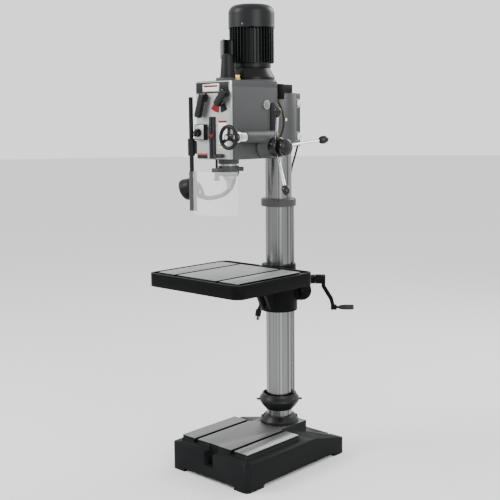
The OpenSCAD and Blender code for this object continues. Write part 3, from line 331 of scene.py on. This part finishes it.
base_top = machined_top("base_machined", gray(0.008, 0.05), gray(0.19, 0.01), "base_casting")

LOOKS = {
    base_black: ["table_bracket", "crank_arm"],
    table_top: ["table"],
    base_top: ["base_casting"],
    head_gray: ["head_housing", "head_cover", "feed_gear_case"],
    panel_silver: ["front_panel"],
    column_steel: ["column"],
    round_steel: ["quill", "spindle", "feed_shaft"],
    collar_black: ["column_flange", "rack_collar_lower", "spring_cover"],
    ring_gray: ["rack_ring_upper", "quill_collar", "guard_hinge"],
    stand_bolt: ["stand_bolts"],
    bright_bolt: ["quill_bearings", "gear_bearings"],
    dark_steel: ["rack_bar", "lift_gear", "lift_worm", "rotor", "layshaft", "drive_sleeve", "table_bolts"],
    gloss_black: [
        "crank_grip", "stop_lever", "switch_knob", "shift_lever_left", "shift_lever_right", "feed_hub",
        "hub_cap", "feed_knobs", "table_lock_handle",
    ],
    satin_black: [
        "depth_scale", "switch_box", "depth_rod", "fine_feed_wheel", "guard_clamp", "guard_rod", "lamp_arm",
        "lamp_head", "spindle_cover",
    ],
    box_black: ["electrical_box"],
    motor_black: ["motor_body", "motor_adapter", "terminal_box"],
    cowl_gray: ["fan_cowl"],
    red: ["depth_marker"],
    brass: ["head_fittings"],
    bronze: ["worm_wheel"],
    chrome: ["feed_levers", "fine_feed_worm"],
    clear_sheet: ["guard_shield"],
    cable_rubber: ["feed_cable"],
    cord_rubber: ["power_cord", "plug"],
}


def dress(obj, material):
    obj.data.materials.clear()
    obj.data.materials.append(material)
    return obj


LOOK_OF = {name: material for material, names in LOOKS.items() for name in names}
for name, material in LOOK_OF.items():
    dress(nodes[name], material)

# ---- Making pieces ----


def finish_piece(bm, name, material, body, smooth_angle=35):
    """Turn a bmesh into a piece that rides on a body."""
    mesh = bpy.data.meshes.new(name)
    bm.to_mesh(mesh)
    bm.free()
    mesh.shade_smooth()
    mesh.set_sharp_from_angle(angle=math.radians(smooth_angle))
    obj = bpy.data.objects.new(name, mesh)
    bpy.context.scene.collection.objects.link(obj)
    dress(obj, material)
    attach(obj, body)
    return obj


def round_edges(bm, width, angle=30, segments=2):
    edges = [e for e in bm.edges if e.is_manifold and e.calc_face_angle(0) > math.radians(angle)]
    bmesh.ops.bevel(
        bm, geom=edges, offset=width, offset_type="OFFSET", segments=segments, profile=0.5,
        affect="EDGES", clamp_overlap=True, material=-1,
    )


def block(lo, hi, width=0.0008):
    """A box between two corners, with its edges rounded."""
    bm = bmesh.new()
    bmesh.ops.create_cube(bm, size=1)
    size = hi - lo
    bmesh.ops.scale(bm, vec=size, verts=bm.verts)
    bmesh.ops.translate(bm, vec=(lo + hi) / 2, verts=bm.verts)
    round_edges(bm, width)
    return bm


def disc(centre, direction, radius, height, width=0.0006, sides=40):
    """A short cylinder that starts at centre and stands along direction."""
    bm = bmesh.new()
    bmesh.ops.create_cone(
        bm, cap_ends=True, segments=sides, radius1=radius, radius2=radius, depth=height,
    )
    bmesh.ops.translate(bm, vec=(0, 0, height / 2), verts=bm.verts)
    round_edges(bm, width)
    turn = Vector((0, 0, 1)).rotation_difference(direction).to_matrix()
    bmesh.ops.rotate(bm, cent=(0, 0, 0), matrix=turn, verts=bm.verts)
    bmesh.ops.translate(bm, vec=centre, verts=bm.verts)
    return bm


def softened(node, width):
    """The CAD node again, with its sharp edges rounded over as on a casting or moulding."""
    bm = bmesh.new()
    bm.from_mesh(nodes[node].data)
    bmesh.ops.remove_doubles(bm, verts=bm.verts, dist=2e-6)
    bmesh.ops.dissolve_limit(
        bm, angle_limit=math.radians(0.4), verts=bm.verts, edges=bm.edges, use_dissolve_boundaries=False,
    )
    edges = [
        e for e in bm.edges
        if e.is_manifold and e.is_convex and e.calc_face_angle(0) > math.radians(40)
        and e.calc_length() > width * 1.5
    ]
    bmesh.ops.bevel(
        bm, geom=edges, offset=width, offset_type="OFFSET", segments=2, profile=0.5,
        affect="EDGES", clamp_overlap=True, material=-1,
    )
    bmesh.ops.triangulate(bm, faces=bm.faces)
    obj = finish_piece(bm, node + "_rounded", LOOK_OF[node], nodes[node]["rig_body"])
    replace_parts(obj, node)
    return obj


# ---- Cord ----

CORD_ROUTE = [
    (-26, 127.3, 1500), (-26, 137, 1500), (-26, 148.7, 1498.1), (-26, 159.3, 1492.7), (-26, 167.7, 1484.3),
    (-26, 173.1, 1473.7), (-26, 175, 1462), (-26, 174, 1432), (-27, 169, 1402), (-28, 160.5, 1372),
    (-29, 149.5, 1342), (-30.5, 138, 1314), (-32, 129.5, 1290), (-34, 122.5, 1262), (-37, 117.5, 1235),
    (-42, 114, 1205), (-54, 106, 1150), (-68, 96, 1080), (-82, 84, 1000), (-96, 72, 920),
    (-110, 60, 840), (-124, 44, 770), (-134, 34, 710), (-142, 26, 650),
]
CORD_D = 9 * MM


def round_line(name, points, radius, resolution, material):
    """A round curve through some points."""
    curve = bpy.data.curves.new(name, "CURVE")
    curve.dimensions = "3D"
    curve.bevel_depth = radius
    curve.bevel_resolution = resolution
    curve.use_fill_caps = True
    line = curve.splines.new("POLY")
    line.points.add(len(points) - 1)
    for place, point in zip(line.points, points):
        place.co = (*point, 1)
    line.use_smooth = True
    obj = bpy.data.objects.new(name, curve)
    bpy.context.scene.collection.objects.link(obj)
    obj.data.materials.append(material)
    return obj


def add_cord():
    points = [at(*p) for p in CORD_ROUTE]
    cord = round_line("mains_cord", points, CORD_D / 2, 3, cord_rubber)
    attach(cord, "stand")
    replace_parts(cord, "power_cord")


add_cord()

# ---- Rounded castings and mouldings ----

for node, width in [
    ("base_casting", 3 * MM), ("table", 2 * MM), ("table_bracket", 2.5 * MM), ("head_housing", 2.5 * MM),
    ("head_cover", 2 * MM), ("electrical_box", 3 * MM), ("crank_arm", 2.5 * MM), ("guard_clamp", 2 * MM),
    ("switch_box", 1.2 * MM), ("stop_lever", 2 * MM), ("terminal_box", 2 * MM),
    ("feed_gear_case", 1.5 * MM), ("quill_collar", 1.5 * MM), ("fine_feed_wheel", 1 * MM),
    ("feed_hub", 1.5 * MM), ("hub_cap", 1.5 * MM),
]:
    softened(node, width)


def add_paddle(node, pivot, angle, length):
    """A broad moulded lever, thick at its hub and straight to its rounded end."""
    bm = bmesh.new()
    bmesh.ops.create_cube(bm, size=1)
    bmesh.ops.scale(bm, vec=((length + 16) * MM, 20 * MM, 29 * MM), verts=bm.verts)
    bmesh.ops.translate(bm, vec=((length - 16) / 2 * MM, 0, 0), verts=bm.verts)
    for v in bm.verts:
        if v.co.x < 0:
            v.co.z *= 0.86
    upright = [e for e in bm.edges if abs((e.verts[0].co - e.verts[1].co).y) > 0.01]
    bmesh.ops.bevel(
        bm, geom=upright, offset=8 * MM, offset_type="OFFSET", segments=5, profile=0.5,
        affect="EDGES", clamp_overlap=True, material=-1,
    )
    round_edges(bm, 2.5 * MM, 40, 3)
    swing = Matrix.Rotation(math.radians(-angle), 3, "Y")
    bmesh.ops.rotate(bm, cent=(0, 0, 0), matrix=swing, verts=bm.verts)
    bmesh.ops.translate(bm, vec=at(pivot[0], FRONT - 21, pivot[1]), verts=bm.verts)
    paddle = finish_piece(bm, node + "_paddle", gloss_black, nodes[node]["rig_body"])
    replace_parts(paddle, node)
    hub = disc(at(pivot[0], FRONT - 0.4, pivot[1]), OUT, 17 * MM, 12 * MM, 1 * MM)
    hub = finish_piece(hub, node + "_hub", gloss_black, nodes[node]["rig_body"])
    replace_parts(hub, node)


add_paddle("shift_lever_left", (-47, 1590), 252, 84)
add_paddle("shift_lever_right", (72, 1604), 231.6, 60)

# ---- Front panel ----


def plate(name, x0, x1, z0, z1, material, proud=1.0, back=0.0, width=0.3):
    """A thin plate on the front panel, standing proud of it."""
    lo = at(x0, FRONT - back - proud, z0)
    hi = at(x1, FRONT - back + 0.2, z1)
    return finish_piece(block(lo, hi, width * MM), name, material, "stand")


def add_front_panel():
    plate("top_bar", -100, 84, 1606, 1649, satin_black, 1.4)
    plate("name_plate", -61, 34, 1611, 1643, silver_label, 0.9, 1.4)
    plate("name_field", -57, 30, 1615, 1639, white_label, 0.3, 2.3)
    plate("name_line", -52, 25, 1630, 1637.5, red, 0.3, 2.6)
    plate("edge_strip", 86, 100.4, 1344, 1651, silver_label, 0.4)
    plate("spec_label", 25, 72, 1388, 1488, white_label, 0.3)
    plate("spec_header", 25, 72, 1488, 1496, red, 0.3)
    for row in range(7):
        plate(f"spec_row_{row}", 29, 68, 1474 - row * 9, 1475 - row * 9, satin_black, 0.2, 0.3)
    plate("warning_square", 27, 37, 1392, 1402, yellow, 0.3, 0.3)
    plate("warning_mark", 30, 34, 1394.5, 1399, satin_black, 0.2, 0.6)
    plate("orange_strip", -99, -40, 1359, 1365, orange, 0.6)
    plate("lower_plate", -99, -40, 1345, 1358.5, satin_black, 1.0)


add_front_panel()


def thicken(bm, face, offset):
    """Give a flat face a thickness."""
    grown = bmesh.ops.extrude_face_region(bm, geom=[face])["geom"]
    moved = [v for v in grown if isinstance(v, bmesh.types.BMVert)]
    bmesh.ops.translate(bm, vec=offset, verts=moved)
    bmesh.ops.recalc_face_normals(bm, faces=bm.faces)


def add_dial():
    """The speed dial: a fan of sectors under the right lever."""
    centre = at(33, FRONT, 1606)
    spans = [(-128, -92, red), (-86, -56, satin_black)]
    for number, (start, stop, material) in enumerate(spans):
        bm = bmesh.new()
        corners = []
        for radius, sweep in ((78, (start, stop)), (48, (stop, start))):
            for step in range(9):
                turn = math.radians(sweep[0] + (sweep[1] - sweep[0]) * step / 8)
                spot = Vector((math.cos(turn), 0, math.sin(turn))) * radius * MM
                corners.append(bm.verts.new(spot))
        thicken(bm, bm.faces.new(corners), OUT * 0.6 * MM)
        bmesh.ops.translate(bm, vec=centre, verts=bm.verts)
        finish_piece(bm, f"dial_sector_{number}", material, "stand")


add_dial()


def add_depth_ticks():
    """Engraved lines down both sides of the depth scale's groove."""
    for number in range(27):
        z = 1354 + number * 5.7
        reach = 7 if number % 5 == 0 else 4
        for side, x0, x1 in (("left", -13.5 - reach, -13.5), ("right", -3.5, -3.5 + reach)):
            plate(f"scale_{side}_{number}", x0, x1, z, z + 0.9, tick_gray, 0.15, 4, 0.02)


add_depth_ticks()


def add_switch_plate():
    plate("switch_face", -93, -43, 1422, 1480, silver_label, 0.8, 18)
    for number, z in enumerate((1426, 1476)):
        screw = disc(at(-48, FRONT - 18.8, z), OUT, 1.8 * MM, 0.8 * MM, 0.2 * MM, 16)
        finish_piece(screw, f"switch_screw_{number}", bright_bolt, "stand")


add_switch_plate()

# ---- Motor and head trim ----


def add_motor_screws():
    for number in range(4):
        turn = math.radians(20 + number * 90)
        away = Vector((math.cos(turn), math.sin(turn), 0))
        head = disc(at(0, MOTOR_Y, 1885) + away * 0.0955, away, 4 * MM, 0.6 * MM, 0.2 * MM, 20)
        finish_piece(head, f"cowl_screw_{number}", dark_steel, "stand")
        bolt = disc(at(0, MOTOR_Y, 1673) + away * 0.087, UP, 7 * MM, 6 * MM, 0.6 * MM, 6)
        finish_piece(bolt, f"flange_bolt_{number}", dark_steel, "stand")


add_motor_screws()


def oval_plate(centre, radius, half, thick):
    """A flat plate with round ends, standing upright on the head's right side."""
    bm = bmesh.new()
    corners = []
    for step in range(33):
        turn = math.pi * step / 32
        corners.append((radius * math.cos(turn), radius * math.sin(turn) + half))
    corners += [(-y, -z) for y, z in corners]
    face = bm.faces.new([bm.verts.new((0, y * MM, z * MM)) for y, z in corners])
    thicken(bm, face, RIGHT * thick * MM)
    round_edges(bm, 1.2 * MM)
    bmesh.ops.translate(bm, vec=centre, verts=bm.verts)
    return bm


def add_head_fittings():
    """The oil window, the oval cover beside it and the brass plug on top."""
    ring = disc(at(101.6, -191, 1560), RIGHT, 19 * MM, 4.4 * MM, 1 * MM)
    glass = disc(at(105, -191, 1560), RIGHT, 14 * MM, 1.9 * MM, 0.5 * MM)
    cover = oval_plate(at(101.6, -150, 1500), 17, 52, 5)
    neck = disc(at(70, -326, 1650), UP, 9.4 * MM, 27 * MM, 1 * MM)
    nut = disc(at(70, -326, 1655.2), UP, 11.5 * MM, 7 * MM, 0.8 * MM, 6)
    for bm, name, material, slot in [
        (ring, "sight_ring", silver_label, "bolt_steel"), (glass, "sight_window", window_glass, "clear"),
        (cover, "oval_cover", satin_black, "black_plate"), (neck, "oil_plug", brass, "brass_fit"),
        (nut, "oil_plug_nut", brass, "brass_fit"),
    ]:
        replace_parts(finish_piece(bm, name, material, "stand"), "head_fittings")


add_head_fittings()


def add_clamp_bolt_caps():
    """Bright domed heads and dark washers over the two clamp bolts."""
    for number, z in enumerate((1428, 1570)):
        washer = disc(at(48.4, 70, z), RIGHT, 19 * MM, 3.2 * MM, 0.5 * MM)
        finish_piece(washer, f"clamp_washer_{number}", dark_steel, "stand")
        head = disc(at(51, 70, z), RIGHT, 15.4 * MM, 12 * MM, 2.5 * MM)
        finish_piece(head, f"clamp_head_{number}", bright_bolt, "stand")


add_clamp_bolt_caps()


def add_cable_clip():
    """The pale clip on the neck, beside the wrapped cable."""
    clip = block(at(76, -43, 1494), at(79, -33, 1506))
    finish_piece(clip, "cable_clip", white_label, "stand")


add_cable_clip()

# ---- Spiral wrap on the feed cable ----

CABLE_ROUTE = [
    (88, -102, 1583.6), (88, -101, 1574), (92, -90, 1556), (97, -83, 1532), (100, -79, 1505),
    (100, -79, 1478), (97, -83, 1452), (94, -89, 1434), (92, -97, 1423), (90, -103, 1420),
]


def add_cable_wrap():
    """A flat olive strip wound round the cable."""
    points = [at(*p) for p in CABLE_ROUTE]
    lengths = [0]
    for a, b in zip(points, points[1:]):
        lengths.append(lengths[-1] + (b - a).length)
    pitch, radius, per_turn = 7 * MM, 4.5 * MM, 10
    turns = lengths[-1] / pitch
    wound = []
    for step in range(int(turns * per_turn)):
        along = lengths[-1] * step / (turns * per_turn)
        i = max(k for k in range(len(points) - 1) if lengths[k] <= along)
        a, b = points[i], points[i + 1]
        ahead = (b - a).normalized()
        out = (RIGHT - ahead * RIGHT.dot(ahead)).normalized()
        across = ahead.cross(out)
        turn = math.tau * step / per_turn
        middle = a + ahead * (along - lengths[i])
        wound.append(middle + (out * math.cos(turn) + across * math.sin(turn)) * radius)
    wrap = round_line("cable_wrap", wound, 1.1 * MM, 1, wrap_olive)
    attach(wrap, "stand")


add_cable_wrap()

# ---- Lamp ----

LAMP_RIM = (-285, -290, 1200)
LAMP_DIR = Vector((-0.88, -0.2, -0.37)).normalized()


def add_lamp_lens():
    lens = disc(at(*LAMP_RIM) - LAMP_DIR * 0.004, LAMP_DIR, 39 * MM, 3 * MM, 0.8 * MM, 48)
    finish_piece(lens, "lamp_lens", lens_glass, "lamp")


add_lamp_lens()

# ---- Studio ----


def add_floor():
    bm = bmesh.new()
    bmesh.ops.create_circle(bm, cap_ends=True, segments=96, radius=40)
    mesh = bpy.data.meshes.new("floor")
    bm.to_mesh(mesh)
    bm.free()
    floor = bpy.data.objects.new("floor", mesh)
    bpy.context.scene.collection.objects.link(floor)
    dress(floor, plain("floor_white", gray(0.75), 0.9, Specular_IOR_Level=0.1))


def add_light(name, place, target, size, power):
    data = bpy.data.lights.new(name, "AREA")
    data.shape = "DISK"
    data.size = size
    data.energy = power
    light = bpy.data.objects.new(name, data)
    bpy.context.scene.collection.objects.link(light)
    light.location = place
    light.rotation_euler = (Vector(target) - Vector(place)).to_track_quat("-Z", "Y").to_euler()


def add_world():
    world = bpy.data.worlds.new("studio")
    bpy.context.scene.world = world
    world.use_nodes = True
    sky = world.node_tree.nodes["Background"]
    sky.inputs["Color"].default_value = (1, 1, 1, 1)
    sky.inputs["Strength"].default_value = 1.5


add_floor()
add_world()
middle = (0, 0, 1.1)
add_light("key", (-2.2, -3.4, 3.6), middle, 2.2, 190)
add_light("fill", (3.6, -1.4, 2.4), middle, 2.4, 90)
add_light("back", (0.6, 3.2, 3.2), middle, 2.0, 90)
